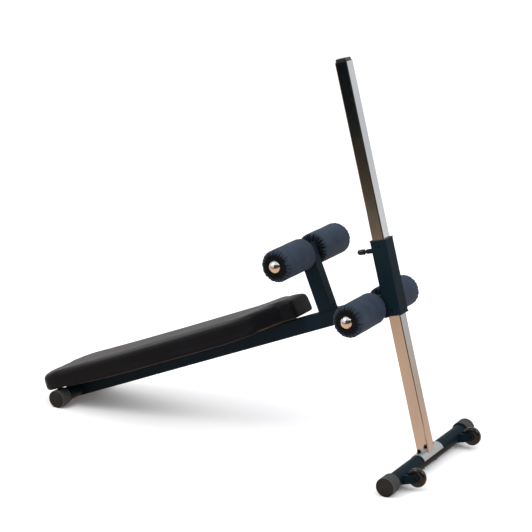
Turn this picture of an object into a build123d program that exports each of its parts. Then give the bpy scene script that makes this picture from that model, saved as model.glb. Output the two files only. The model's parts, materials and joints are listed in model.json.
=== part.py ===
"""Decline sit-up bench: a padded board on a beam that slides up and down a chromed post.

Millimetres, +Z up. The bench runs along X, with its low end at -X and its post at +X, and it
is symmetric about Y = 0, where +Y is its left. The origin is on the floor, under the middle.
"""
import os
from math import asin, cos, degrees, radians, sin, sqrt

from build123d import *

os.makedirs("parts", exist_ok=True)

# ---- driving dimensions --------------------------------------------------------------------
# Layout. The post, the beam and the floor form a triangle, with a round foot at two corners.
BASE_X = 786.8            # axis of the rear foot tube, from the origin
POST_ANGLE = 98.2         # between the beam's upper side and the post
BEAM_REACH = 1540.0       # from the post's centre line to the axis of the front foot tube
PIVOT_HEIGHT = 606.0      # along the post, from the rear foot tube to the beam's centre line

# Round foot tubes and their ribbed end caps.
FOOT_R = 28.5
FOOT_WALL = 2.5
CAP_R = 36.0
CAP_SKIRT = 50.0
CAP_FACE = 6.0
CAP_RIBS = 30
RIB_GROOVE_R = 2.3
CAP_CHAMFER = 1.5
REAR_HALF = 357.5         # half the length of the rear foot, over its caps
FRONT_HALF = 174.0        # half the length of the front foot, over its caps

# Post, its saddle and its adjusting holes.
POST = 50.0
POST_WALL = 2.5
POST_FOOT = 10.0          # where the post's lowest corners start, above the tube's axis
POST_TOP = 1500.0         # along the post, from the rear foot tube
CORNER_R = 4.0
POST_FLANGE = 48.0        # the cap's rim, over the end of the tube
POST_FLANGE_T = 1.5
POST_CROWN = 44.0
POST_CROWN_H = 13.5
POST_CROWN_ROUND = 5.0
POST_PLUG = 25.0
SADDLE_WALL = 3.5
SADDLE_HALF = 82.0
SADDLE_OPENING = 98.0     # half the angle that the saddle leaves open, underneath
SADDLE_BOLT_Y = 54.0
PIN_Z = 797.0             # the pull pin's height along the post in the stored position
HOLE_PITCH = 75.0
HOLE_COUNT = 9
HOLE_R = 6.5

# Fasteners.
BOLT_R = 4.0
BOLT_HEAD_R = 8.0
BOLT_HEAD_T = 3.0
WASHER_R = 9.0
WASHER_T = 2.0
NUT_ACROSS = 13.0
NUT_T = 6.5
SCREW_R = 2.5
SCREW_HEAD_R = 4.5
SCREW_HEAD_T = 2.5

# Sleeve and the plastic bushes that guide it.
SLEEVE = 65.0
SLEEVE_WALL = 3.0
SLEEVE_BOTTOM = 556.0
SLEEVE_TOP = 835.0
BUSH_GAP = 0.1
BUSH_DEPTH = 60.0
FLANGE = 68.0
FLANGE_T = 4.0
SCREW_HEIGHTS = (573.0, 815.0)

# Pull pin, from the post's face outwards.
ROD_R = 4.0
NOSE_R = 6.0
NOSE_CLEAR = 0.5
BORE_GAP = 0.1
COLLAR_R = 12.0
COLLAR_L = 9.0
BARREL_R = 9.0
BARREL_L = 36.0
BARREL_LID = 3.0
CHAMBER_R = 7.0
SHOULDER_START = 1.0
SHOULDER_T = 4.0
KNOB_GAP = 0.8
KNOB_NECK_R = 6.0
KNOB_R = 10.5
KNOB_FROM = 44.0          # from the sleeve's face
KNOB_TO = 76.0
KNOB_CHAMFER = 3.0
SPRING_R = 5.6
SPRING_WIRE_R = 0.55
SPRING_COILS = 8

# Beam and arm.
BEAM_W = 50.0
BEAM_H = 60.0
BEAM_WALL = 2.5
ARM_U = -283.0
ARM_L = 60.0
ARM_TOP = 292.0
ARM_PLATE_T = 3.0
VENT_R = 4.0
VENT_RISE = 14.0

# Foam rollers: (name, place along the beam, height above the beam's centre line).
ROLLER_AXES = (("upper", -287.0, 263.0), ("lower", -76.5, -4.0))
SIDES = (("left", 1), ("right", -1))
ROLLER_R = 60.0
ROLLER_IN = 40.0
ROLLER_OUT = 245.0
ROLLER_EDGE = 11.0
AXLE_R = 16.0
AXLE_WALL = 2.0
CORE_R = 19.0
RUN_GAP = 0.06
STOP_R = 26.0
DISC_R = 43.0
DISC_T = 3.0
END_GAP = 0.4
DOME_R = 24.5
DOME_H = 17.0
DOME_PLUG = 12.0

# Pad, its board and the bars that carry it.
PAD_LOW = -1622.0
PAD_HIGH = -383.0
PAD_HALF = 168.0
TONGUE_HALF = 74.0
TAPER_START = -548.0
TAPER_END = -441.0
TAPER_LEAD = 55.0         # how far the curve runs on along each edge as it turns
TAPER_TAIL = 18.0
LOW_CORNER_R = 95.0
TONGUE_CORNER_R = 20.0
PAD_BOTTOM = 38.0
PAD_TOP = 107.0
PAD_EDGE_R = 18.0
LIP_BOTTOM = 25.0
LIP_FROM = -1470.0
LIP_TO = -530.0
BOARD_INSET = 18.0
BOARD_T = 18.0
BAR_H = 8.0               # a shallow channel, open underneath
BAR_WALL = 3.0
BAR_L = 240.0
BAR_W = 50.0
BAR_PLACES = (-1410.0, -980.0, -620.0)
PAD_BOLT_Y = 90.0
PAD_BOLT_L = 20.0

# Transport wheels, from the rear foot tube's axis.
WHEEL_BEHIND = 74.0
WHEEL_RAISE = 13.4
WHEEL_Y = 243.5
WHEEL_R = 36.0
WHEEL_W = 26.0
WHEEL_ROUND = 10.0
HUB_R = 17.0
HUB_W = 29.0
FORK_GAP = 30.0
EAR_T = 4.0
EAR_R = 15.0
EAR_ROOT = 22.0
EAR_ROOT_R = 17.0
WEB_REACH = 36.0
WEB_H = 30.0

# ---- worked-out places ---------------------------------------------------------------------
INNER_ANGLE = radians(180.0 - POST_ANGLE)
FOOT_SPAN = sqrt(PIVOT_HEIGHT ** 2 + BEAM_REACH ** 2
                 - 2 * PIVOT_HEIGHT * BEAM_REACH * cos(INNER_ANGLE))
DECLINE = degrees(asin(PIVOT_HEIGHT * sin(INNER_ANGLE) / FOOT_SPAN))
LEAN = DECLINE - (POST_ANGLE - 90.0)
PIVOT_X = BASE_X - PIVOT_HEIGHT * sin(radians(LEAN))
PIVOT_Z = CAP_R + PIVOT_HEIGHT * cos(radians(LEAN))
SADDLE_R = FOOT_R + SADDLE_WALL
BOARD_BOTTOM = BEAM_H / 2 + BAR_H
FAR = 400.0               # longer than any local feature, for cutting tools

# Three frames. STAND: z along the post, from the rear foot tube's axis. BENCH: x along the
# beam and z square to it, from where the centre lines of beam and post meet. LEVEL: upright,
# at the rear foot tube's axis.
STAND = Location((BASE_X, 0, CAP_R), (0, -LEAN, 0))
BENCH = Location((PIVOT_X, 0, PIVOT_Z), (0, -DECLINE, 0))
LEVEL = Location((BASE_X, 0, CAP_R))
FRONT_FOOT = BENCH * Location((-BEAM_REACH, 0, 0))
# The pull pin's frame: z away from the bench side of the post, from its face.
PIN = STAND * Location((-POST / 2, 0, PIN_Z), (0, -90, 0))

parts = {}


def square_tube(across, deep, wall, length):
    """A tube along +Z, with rounded corners."""
    outer = RectangleRounded(across, deep, CORNER_R)
    inner = RectangleRounded(across - 2 * wall, deep - 2 * wall, CORNER_R - wall / 2)
    return extrude(outer - inner, amount=length)


def rod_y(radius, start, end):
    """A solid rod along Y, from start to end."""
    middle = (start + end) / 2
    return Pos(0, middle, 0) * Rot(90, 0, 0) * Cylinder(radius, abs(end - start))


def ring_y(outer, inner, start, end):
    """A ring around the Y axis, from start to end."""
    return rod_y(outer, start, end) - rod_y(inner, start, end)


def rod_z(radius, start, end):
    """A solid rod along Z, from start to end."""
    return Pos(0, 0, (start + end) / 2) * Cylinder(radius, end - start)


def outward(side):
    """Turns +Z to point out of the bench, to its left (1) or its right (-1)."""
    return Rot(-90 * side, 0, 0)


def hexagon(across, height):
    """A hexagonal prism along +Z, from z = 0."""
    return extrude(RegularPolygon(across / 2, 6, major_radius=False), amount=height)


# ---- feet ----------------------------------------------------------------------------------
def foot_tube(half):
    """A round tube along Y that stops at the faces of its two caps."""
    inside = half - CAP_FACE
    return ring_y(FOOT_R, FOOT_R - FOOT_WALL, -inside, inside)


def ribbed_cap():
    """A cap along +Z: a fluted skirt over the tube's end, and a plain face."""
    grooves = PolarLocations(CAP_R, CAP_RIBS) * Circle(RIB_GROOVE_R)
    skirt = extrude(Circle(CAP_R) - Circle(FOOT_R) - grooves, amount=CAP_SKIRT)
    face = rod_z(CAP_R, CAP_SKIRT, CAP_SKIRT + CAP_FACE)
    rim = face.edges().filter_by(GeomType.CIRCLE).sort_by(Axis.Z)[-1]
    return skirt + chamfer(rim, CAP_CHAMFER)


def add_caps(frame, half, name):
    start = half - CAP_FACE - CAP_SKIRT
    for side_name, side in SIDES:
        cap = Pos(0, side * start, 0) * outward(side) * ribbed_cap()
        parts[f"{name}_cap_{side_name}"] = frame * cap


saddle_spots = [Pos(0, side * SADDLE_BOLT_Y, 0) for _, side in SIDES]
saddle_holes = [spot * rod_z(BOLT_R, -2 * FOOT_R, 2 * FOOT_R) for spot in saddle_spots]
parts["rear_foot_tube"] = STAND * (foot_tube(REAR_HALF) - saddle_holes)
parts["front_foot_tube"] = FRONT_FOOT * foot_tube(FRONT_HALF)
add_caps(LEVEL, REAR_HALF, "rear_foot")
add_caps(FRONT_FOOT, FRONT_HALF, "front_foot")


# ---- post on its saddle --------------------------------------------------------------------
def saddle():
    """A curved plate over the top of the rear foot tube, a little less than half round."""
    plate = ring_y(SADDLE_R, FOOT_R, -SADDLE_HALF, SADDLE_HALF)
    edge_x = FAR * sin(radians(SADDLE_OPENING))
    edge_z = -FAR * cos(radians(SADDLE_OPENING))
    corners = [(0, 0), (edge_x, edge_z), (edge_x, -FAR), (-edge_x, -FAR), (-edge_x, edge_z)]
    wedge = Plane.XZ * make_face(Polyline(*corners, close=True))
    return plate - extrude(wedge, amount=SADDLE_HALF + 1, both=True) - saddle_holes


def saddle_bolt():
    """A round-headed bolt from below, through the tube and the saddle."""
    head = rod_z(BOLT_HEAD_R, -FOOT_R - BOLT_HEAD_T, 0) - rod_y(FOOT_R, -FAR, FAR)
    top = SADDLE_R + WASHER_T + NUT_T + 3
    return head.solids().sort_by(Axis.Z)[0] + rod_z(BOLT_R, -FOOT_R - BOLT_HEAD_T, top)


def saddle_washer():
    ring = rod_z(WASHER_R, 0, SADDLE_R + WASHER_T) - rod_z(BOLT_R, 0, FAR)
    return ring - rod_y(SADDLE_R, -FAR, FAR)


def nut():
    """A hexagon nut along +Z, with its bevelled top corners, from z = 0."""
    bevel = Cone(NUT_ACROSS, NUT_ACROSS / 2, NUT_T, align=(Align.CENTER, Align.CENTER, Align.MIN))
    return (hexagon(NUT_ACROSS, NUT_T) & bevel) - rod_z(BOLT_R, -1, NUT_T + 1)


def post():
    """A square tube, coped over the saddle, with adjusting holes on the bench side."""
    tube = Pos(0, 0, POST_FOOT) * square_tube(POST, POST, POST_WALL, POST_TOP - POST_FOOT)
    tube -= rod_y(SADDLE_R, -POST, POST)
    for step in range(HOLE_COUNT):
        place = Pos(-POST / 2, 0, PIN_Z + step * HOLE_PITCH) * Rot(0, 90, 0)
        tube -= place * Cylinder(HOLE_R, 4 * POST_WALL)
    return tube


def post_cap():
    """A plastic cap: a rounded crown, a thin rim, and a plug that fills the top of the post."""
    crown = extrude(RectangleRounded(POST_CROWN, POST_CROWN, CORNER_R), amount=POST_CROWN_H)
    crown = fillet(crown.faces().sort_by(Axis.Z)[-1].edges(), POST_CROWN_ROUND)
    rim = extrude(RectangleRounded(POST_FLANGE, POST_FLANGE, CORNER_R), amount=POST_FLANGE_T)
    inside = POST - 2 * POST_WALL
    plug = extrude(RectangleRounded(inside, inside, CORNER_R), amount=-POST_PLUG)
    return Pos(0, 0, POST_TOP) * (crown + rim + plug)


nut_seat = Pos(0, 0, SADDLE_R + WASHER_T)
parts["saddle_plate"] = STAND * saddle()
parts["saddle_bolts"] = STAND * Compound([spot * saddle_bolt() for spot in saddle_spots])
parts["saddle_washers"] = STAND * Compound([spot * saddle_washer() for spot in saddle_spots])
parts["saddle_nuts"] = STAND * Compound([spot * nut_seat * nut() for spot in saddle_spots])
parts["post"] = STAND * post()
parts["post_cap"] = STAND * post_cap()


# ---- transport wheels ----------------------------------------------------------------------
def wheel_fork():
    """Two ears and a web, welded to the rear foot tube, about Y = 0."""
    tip = Pos(WHEEL_BEHIND, WHEEL_RAISE) * Circle(EAR_R)
    root = Pos(EAR_ROOT, 0) * Circle(EAR_ROOT_R)
    outline = make_hull(tip.edges() + root.edges())
    ear = extrude(Plane.XZ * outline, amount=EAR_T / 2, both=True)
    offset = (FORK_GAP + EAR_T) / 2
    web = Pos(WEB_REACH / 2, 0, 0) * Box(WEB_REACH, FORK_GAP, WEB_H)
    fork = web + Pos(0, offset, 0) * ear + Pos(0, -offset, 0) * ear
    axle_hole = Pos(WHEEL_BEHIND, 0, WHEEL_RAISE) * rod_y(BOLT_R, -FAR, FAR)
    return fork - axle_hole - rod_y(FOOT_R, -FAR, FAR)


def wheel_axle():
    """A bolt along +Z through the fork, with a domed head at its outer end."""
    reach = FORK_GAP / 2 + EAR_T
    head = rod_z(BOLT_HEAD_R, reach, reach + BOLT_HEAD_T + 1)
    rim = head.edges().filter_by(GeomType.CIRCLE).sort_by(Axis.Z)[-1]
    return fillet(rim, BOLT_HEAD_T) + rod_z(BOLT_R, -reach - NUT_T - 1, reach)


def tyre():
    ring = ring_y(WHEEL_R, HUB_R, -WHEEL_W / 2, WHEEL_W / 2)
    shoulders = ring.edges().filter_by(GeomType.CIRCLE).group_by(Edge.length)[-1]
    return fillet(shoulders, WHEEL_ROUND)


wheel_nuts = []
for side_name, side in SIDES:
    here = LEVEL * Pos(0, side * WHEEL_Y, 0)
    axis = here * Pos(WHEEL_BEHIND, 0, WHEEL_RAISE)
    nut_place = outward(-side) * Pos(0, 0, FORK_GAP / 2 + EAR_T)
    parts[f"wheel_fork_{side_name}"] = here * wheel_fork()
    parts[f"wheel_axle_{side_name}"] = axis * outward(side) * wheel_axle()
    parts[f"wheel_tyre_{side_name}"] = axis * tyre()
    parts[f"wheel_hub_{side_name}"] = axis * ring_y(HUB_R, BOLT_R + RUN_GAP, -HUB_W / 2, HUB_W / 2)
    wheel_nuts.append(axis * nut_place * nut())
parts["wheel_nuts"] = Compound(wheel_nuts)


# ---- sleeve and bushes ---------------------------------------------------------------------
screw_frames = [Pos(0, side * SLEEVE / 2, height) * outward(side)
                for _, side in SIDES for height in SCREW_HEIGHTS]
BUSH_WALL = (SLEEVE - POST) / 2 - SLEEVE_WALL - BUSH_GAP
screw_holes = [frame * rod_z(SCREW_R, -SLEEVE_WALL - BUSH_WALL, 1) for frame in screw_frames]
nose_hole = Pos(-SLEEVE / 2, 0, PIN_Z) * Rot(0, 90, 0) * Cylinder(NOSE_R + BORE_GAP, POST / 2)


def bush(body_start, flange_start):
    """A liner between sleeve and post, with a flange at the sleeve's end."""
    outer = SLEEVE - 2 * SLEEVE_WALL
    inner = POST + 2 * BUSH_GAP
    body = extrude(RectangleRounded(outer, outer, CORNER_R), amount=BUSH_DEPTH)
    flange = extrude(RectangleRounded(FLANGE, FLANGE, CORNER_R + 1), amount=FLANGE_T)
    solid = Pos(0, 0, body_start) * body + Pos(0, 0, flange_start) * flange
    bore = extrude(RectangleRounded(inner, inner, CORNER_R - BUSH_GAP), amount=POST_TOP)
    return solid - bore - nose_hole - screw_holes


def bush_screw():
    head = rod_z(SCREW_HEAD_R, 0, SCREW_HEAD_T)
    rim = head.edges().filter_by(GeomType.CIRCLE).sort_by(Axis.Z)[-1]
    return fillet(rim, SCREW_HEAD_T / 2) + rod_z(SCREW_R, -SLEEVE_WALL - BUSH_WALL, 0)


sleeve = Pos(0, 0, SLEEVE_BOTTOM) * square_tube(SLEEVE, SLEEVE, SLEEVE_WALL,
                                                SLEEVE_TOP - SLEEVE_BOTTOM)
parts["sleeve"] = STAND * (sleeve - nose_hole - screw_holes)
parts["sleeve_bush_lower"] = STAND * bush(SLEEVE_BOTTOM, SLEEVE_BOTTOM - FLANGE_T)
parts["sleeve_bush_upper"] = STAND * bush(SLEEVE_TOP - BUSH_DEPTH, SLEEVE_TOP)
parts["bush_screws"] = STAND * Compound([frame * bush_screw() for frame in screw_frames])


# ---- pull pin ------------------------------------------------------------------------------
SLEEVE_FACE = (SLEEVE - POST) / 2         # from the post's face to the sleeve's outer face
BARREL_END = SLEEVE_FACE + BARREL_L
SHOULDER = SLEEVE_FACE + SHOULDER_START
SPRING_FROM = SHOULDER + SHOULDER_T + SPRING_WIRE_R
SPRING_TO = BARREL_END - BARREL_LID - SPRING_WIRE_R
KNOB_CENTRE = SLEEVE_FACE + KNOB_TO - KNOB_R


def pin_barrel():
    """A collar and barrel, welded to the sleeve, with a spring chamber inside."""
    collar = rod_z(COLLAR_R, SLEEVE_FACE, SLEEVE_FACE + COLLAR_L)
    rim = collar.edges().filter_by(GeomType.CIRCLE).sort_by(Axis.Z)[-1]
    body = chamfer(rim, 2) + rod_z(BARREL_R, SLEEVE_FACE, BARREL_END)
    chamber = rod_z(CHAMBER_R, 0, BARREL_END - BARREL_LID)
    return body - chamber - rod_z(ROD_R + BORE_GAP, 0, BARREL_END + 1)


def pin_rod():
    """The nose, the shoulder that the spring pushes on, and the rod to the knob."""
    nose = rod_z(NOSE_R, NOSE_CLEAR, SHOULDER)
    tip = nose.edges().filter_by(GeomType.CIRCLE).sort_by(Axis.Z)[0]
    shoulder = rod_z(CHAMBER_R - 2 * BORE_GAP, SHOULDER, SHOULDER + SHOULDER_T)
    return chamfer(tip, 1) + shoulder + rod_z(ROD_R, SHOULDER, KNOB_CENTRE)


def pin_spring():
    coil = Helix((SPRING_TO - SPRING_FROM) / SPRING_COILS, SPRING_TO - SPRING_FROM, SPRING_R)
    start = Plane(origin=coil @ 0, z_dir=coil % 0)
    return Pos(0, 0, SPRING_FROM) * sweep(start * Circle(SPRING_WIRE_R), path=coil)


def pin_knob():
    """A long knob with a round end, on a neck, with a blind hole for the rod."""
    grip = rod_z(KNOB_R, SLEEVE_FACE + KNOB_FROM, KNOB_CENTRE)
    base = grip.edges().filter_by(GeomType.CIRCLE).sort_by(Axis.Z)[0]
    neck = rod_z(KNOB_NECK_R, BARREL_END + KNOB_GAP, KNOB_CENTRE)
    ball = Pos(0, 0, KNOB_CENTRE) * Sphere(KNOB_R)
    return chamfer(base, KNOB_CHAMFER) + neck + ball - rod_z(ROD_R, 0, KNOB_CENTRE)


parts["pin_barrel"] = PIN * pin_barrel()
parts["pin_rod"] = PIN * pin_rod()
parts["pin_spring"] = PIN * pin_spring()
parts["pin_knob"] = PIN * pin_knob()


# ---- beam and arm --------------------------------------------------------------------------
def roller_holes(name):
    place = next((u, v) for axis_name, u, v in ROLLER_AXES if axis_name == name)
    return Pos(place[0], 0, place[1]) * rod_y(AXLE_R, -FAR, FAR)


def beam():
    """From the front foot tube to the sleeve, coped at both ends."""
    tube = square_tube(BEAM_H, BEAM_W, BEAM_WALL, BEAM_REACH)
    tube = BENCH * Pos(-BEAM_REACH, 0, 0) * Rot(0, 90, 0) * tube
    past_sleeve = STAND * Pos((FAR - SLEEVE) / 2, 0, PIVOT_HEIGHT) * Box(FAR, FAR, FAR)
    tube = tube - past_sleeve - FRONT_FOOT * rod_y(FOOT_R, -FAR, FAR)
    tube -= BENCH * roller_holes("lower")
    return tube.solids().sort_by(SortBy.VOLUME)[-1]


def arm():
    """A closed square tube that stands on the beam and carries the upper rollers."""
    length = ARM_TOP - BEAM_H / 2
    tube = Pos(ARM_U, 0, BEAM_H / 2) * square_tube(ARM_L, BEAM_W, BEAM_WALL, length)
    inside = RectangleRounded(ARM_L - 2 * BEAM_WALL, BEAM_W - 2 * BEAM_WALL, 1)
    tube += Pos(ARM_U, 0, ARM_TOP - ARM_PLATE_T) * extrude(inside, amount=ARM_PLATE_T)
    vent = Pos(ARM_U + ARM_L / 2, 0, BEAM_H / 2 + VENT_RISE) * Rot(0, 90, 0)
    return tube - roller_holes("upper") - vent * Cylinder(VENT_R, 2 * BEAM_WALL)


parts["beam"] = beam()
parts["arm"] = BENCH * arm()


# ---- foam rollers --------------------------------------------------------------------------
def foam():
    """A foam roller along +Z, from its inner end, with rounded ends."""
    length = ROLLER_OUT - ROLLER_IN
    body = rod_z(ROLLER_R, 0, length)
    return fillet(body.edges().filter_by(GeomType.CIRCLE), ROLLER_EDGE) - rod_z(CORE_R, -1, FAR)


def dome():
    """A chromed dome along +Z, with a plug that goes into the tube's end."""
    sphere_r = (DOME_R ** 2 + DOME_H ** 2) / (2 * DOME_H)
    ball = Pos(0, 0, DOME_H - sphere_r) * Sphere(sphere_r)
    return (ball & rod_z(DOME_R, 0, DOME_H)) + rod_z(AXLE_R - AXLE_WALL, -DOME_PLUG, 0)


AXLE_END = ROLLER_OUT + END_GAP + DISC_T
stop_rings = []
for name, u, v in ROLLER_AXES:
    centre = BENCH * Pos(u, 0, v)
    parts[f"{name}_roller_tube"] = centre * ring_y(AXLE_R, AXLE_R - AXLE_WALL, -AXLE_END, AXLE_END)
    for side_name, side in SIDES:
        out = centre * outward(side)
        stop = rod_z(STOP_R, ROLLER_IN - END_GAP - DISC_T, ROLLER_IN - END_GAP)
        stop_rings.append(out * (stop - rod_z(AXLE_R, 0, FAR)))
        core = rod_z(CORE_R, ROLLER_IN, ROLLER_OUT) - rod_z(AXLE_R + RUN_GAP, 0, FAR)
        disc = rod_z(DISC_R, ROLLER_OUT + END_GAP, AXLE_END) - rod_z(AXLE_R, 0, FAR)
        parts[f"{name}_foam_{side_name}"] = out * Pos(0, 0, ROLLER_IN) * foam()
        parts[f"{name}_core_{side_name}"] = out * core
        parts[f"{name}_disc_{side_name}"] = out * disc
        parts[f"{name}_dome_{side_name}"] = out * Pos(0, 0, AXLE_END) * dome()
parts["roller_stops"] = Compound(stop_rings)


# ---- pad -----------------------------------------------------------------------------------
def pad_outline(inset):
    """The pad seen from above: a rounded low end, and a narrow tongue at the high end."""
    low, high = PAD_LOW + inset, PAD_HIGH - inset
    wide, slim = PAD_HALF - inset, TONGUE_HALF - inset
    low_r = LOW_CORNER_R - inset
    high_r = max(TONGUE_CORNER_R - inset, 4)
    lead, tail = TAPER_START + TAPER_LEAD, TAPER_END - TAPER_TAIL
    half = Line((low, 0), (low, wide - low_r))
    half += RadiusArc((low, wide - low_r), (low + low_r, wide), low_r)
    half += Line((low + low_r, wide), (TAPER_START, wide))
    half += Bezier((TAPER_START, wide), (lead, wide), (tail, slim), (TAPER_END, slim))
    half += Line((TAPER_END, slim), (high - high_r, slim))
    half += RadiusArc((high - high_r, slim), (high, slim - high_r), high_r)
    half += Line((high, slim - high_r), (high, 0))
    return make_face(half + mirror(half, about=Plane.XZ))


def between(outline, bottom, top):
    return Pos(0, 0, bottom) * extrude(outline, amount=top - bottom)


def cushion():
    """The foam pad, hollowed for its board, with a lower lip along its straight sides."""
    outline = pad_outline(0)
    block = between(outline, PAD_BOTTOM, PAD_TOP)
    block = fillet(block.faces().sort_by(Axis.Z)[-1].edges(), PAD_EDGE_R)
    lip_length = LIP_TO - LIP_FROM
    lip_zone = Pos((LIP_FROM + LIP_TO) / 2, 0, PAD_BOTTOM) * Box(lip_length, FAR, FAR / 2)
    block += between(outline, LIP_BOTTOM, PAD_BOTTOM) & lip_zone
    return block - between(pad_outline(BOARD_INSET), 0, BOARD_BOTTOM + BOARD_T)


def pad_bar():
    """A channel across the beam, from z = 0, with its open side down."""
    hollow = Box(BAR_W - 2 * BAR_WALL, BAR_L + 2, BAR_H - BAR_WALL)
    solid = Pos(0, 0, BAR_H / 2) * Box(BAR_W, BAR_L, BAR_H)
    return solid - Pos(0, 0, (BAR_H - BAR_WALL) / 2) * hollow


pad_spots = [Pos(place, side * PAD_BOLT_Y, BOARD_BOTTOM - BAR_WALL)
             for place in BAR_PLACES for _, side in SIDES]
pad_holes = [spot * rod_z(BOLT_R, -1, PAD_BOLT_L) for spot in pad_spots]
pad_bolt = hexagon(NUT_ACROSS, -NUT_T) + rod_z(BOLT_R, -1, PAD_BOLT_L)
bars = [Pos(place, 0, BEAM_H / 2) * pad_bar() - pad_holes for place in BAR_PLACES]
board = between(pad_outline(BOARD_INSET), BOARD_BOTTOM, BOARD_BOTTOM + BOARD_T)
parts["pad_bars"] = BENCH * Compound(bars)
parts["pad_board"] = BENCH * (board - pad_holes)
parts["pad_bolts"] = BENCH * Compound([spot * pad_bolt for spot in pad_spots])
parts["pad_cushion"] = BENCH * cushion()


# ---- write each piece ----------------------------------------------------------------------
for node, shape in parts.items():
    export_step(shape, f"parts/{node}.step")
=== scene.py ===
"""The looks of a decline sit-up bench, built on its CAD frame. Metres, +Z up, post at +X."""
import json
import math
import random

import bmesh
import bpy
import numpy as np
from mathutils import Matrix, Vector, noise
from mathutils.bvhtree import BVHTree


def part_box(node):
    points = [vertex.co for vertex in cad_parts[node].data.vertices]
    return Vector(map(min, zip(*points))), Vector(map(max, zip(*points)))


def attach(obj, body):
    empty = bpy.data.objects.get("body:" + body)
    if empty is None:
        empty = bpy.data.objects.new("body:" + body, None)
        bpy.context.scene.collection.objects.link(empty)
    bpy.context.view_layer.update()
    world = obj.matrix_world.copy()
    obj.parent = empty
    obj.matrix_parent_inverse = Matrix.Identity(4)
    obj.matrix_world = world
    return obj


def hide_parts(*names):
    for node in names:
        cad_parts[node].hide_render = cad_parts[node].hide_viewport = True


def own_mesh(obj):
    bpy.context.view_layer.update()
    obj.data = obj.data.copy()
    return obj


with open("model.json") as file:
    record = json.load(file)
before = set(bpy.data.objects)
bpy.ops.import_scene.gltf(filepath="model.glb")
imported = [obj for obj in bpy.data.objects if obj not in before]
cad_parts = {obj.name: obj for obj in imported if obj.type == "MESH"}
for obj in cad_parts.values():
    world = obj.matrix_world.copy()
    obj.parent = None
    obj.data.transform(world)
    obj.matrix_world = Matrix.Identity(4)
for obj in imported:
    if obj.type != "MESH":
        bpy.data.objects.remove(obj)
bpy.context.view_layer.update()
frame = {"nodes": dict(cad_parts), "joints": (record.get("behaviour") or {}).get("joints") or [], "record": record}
nodes = frame["nodes"]
record = frame["record"]
joints = {joint["name"]: joint for joint in frame["joints"]}
scene = bpy.context.scene

MM = 0.001
SIDES = (("left", 1), ("right", -1))       # each side's name and the sign of its y

# ---- camera --------------------------------------------------------------------------------
CAMERA_AT = Vector((3.5588, -6.0664, 2.6249))
CAMERA_AZIMUTH = math.radians(29.73)
CAMERA_ELEVATION = math.radians(15.58)
CAMERA_LENS = 128.59      # mm, on a sensor 36 mm wide
SENSOR = 36.0
CLIP_END = 200.0


def add_camera():
    """The camera, from the picture's angle."""
    data = bpy.data.cameras.new("camera")
    data.sensor_width = SENSOR
    data.lens = CAMERA_LENS
    data.clip_end = CLIP_END
    camera = bpy.data.objects.new("camera", data)
    scene.collection.objects.link(camera)
    camera.location = CAMERA_AT
    camera.rotation_euler = (math.pi / 2 - CAMERA_ELEVATION, 0, CAMERA_AZIMUTH)
    scene.camera = camera


add_camera()

# ---- local frames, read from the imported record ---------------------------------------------
# PAD_FRAME: x up along the pad, y to the left, z out of its top, from a point on the top.
# POST_FRAME: z up along the post, x out of its rear face, from the rear foot tube's axis.
lying_face = next(mount for mount in record["mounts"] if mount["name"] == "lying_face")
PAD_UP = Vector(lying_face["axis"])
PAD_ALONG = Vector((PAD_UP.z, 0, -PAD_UP.x))
POST_UP = Vector(joints["sleeve_slide"]["axis"])
POST_OUT = Vector((POST_UP.z, 0, -POST_UP.x))
foot_low, foot_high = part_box("rear_foot_tube")


def frame_matrix(x_axis, z_axis, origin):
    """From a local frame to the row frame. Both frames have the same y axis."""
    columns = Matrix((x_axis, (0, 1, 0), z_axis)).transposed()
    return Matrix.Translation(origin) @ columns.to_4x4()


PAD_FRAME = frame_matrix(PAD_ALONG, PAD_UP, Vector(lying_face["pos_m"]))
POST_FRAME = frame_matrix(POST_OUT, POST_UP, (foot_low + foot_high) / 2)


def node_points(node, matrix):
    """A CAD node's points in a local frame, one row each."""
    to_local = matrix.inverted()
    return np.array([to_local @ vertex.co for vertex in nodes[node].data.vertices])


# ---- node-material helpers -----------------------------------------------------------------
MIX_COLOURS = slice(6, 8)  # the mix node's colour sockets, past those for numbers and vectors
MIX_RESULT = 2


def set_stops(ramp, stops):
    """Gives a colour ramp node its stops, each a position and a grey or colour."""
    elements = ramp.color_ramp.elements
    while len(elements) < len(stops):
        elements.new(0.5)
    for element, (position, colour) in zip(elements, stops):
        element.position = position
        element.color = (*colour, 1) if isinstance(colour, tuple) else (*[colour] * 3, 1)


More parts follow.
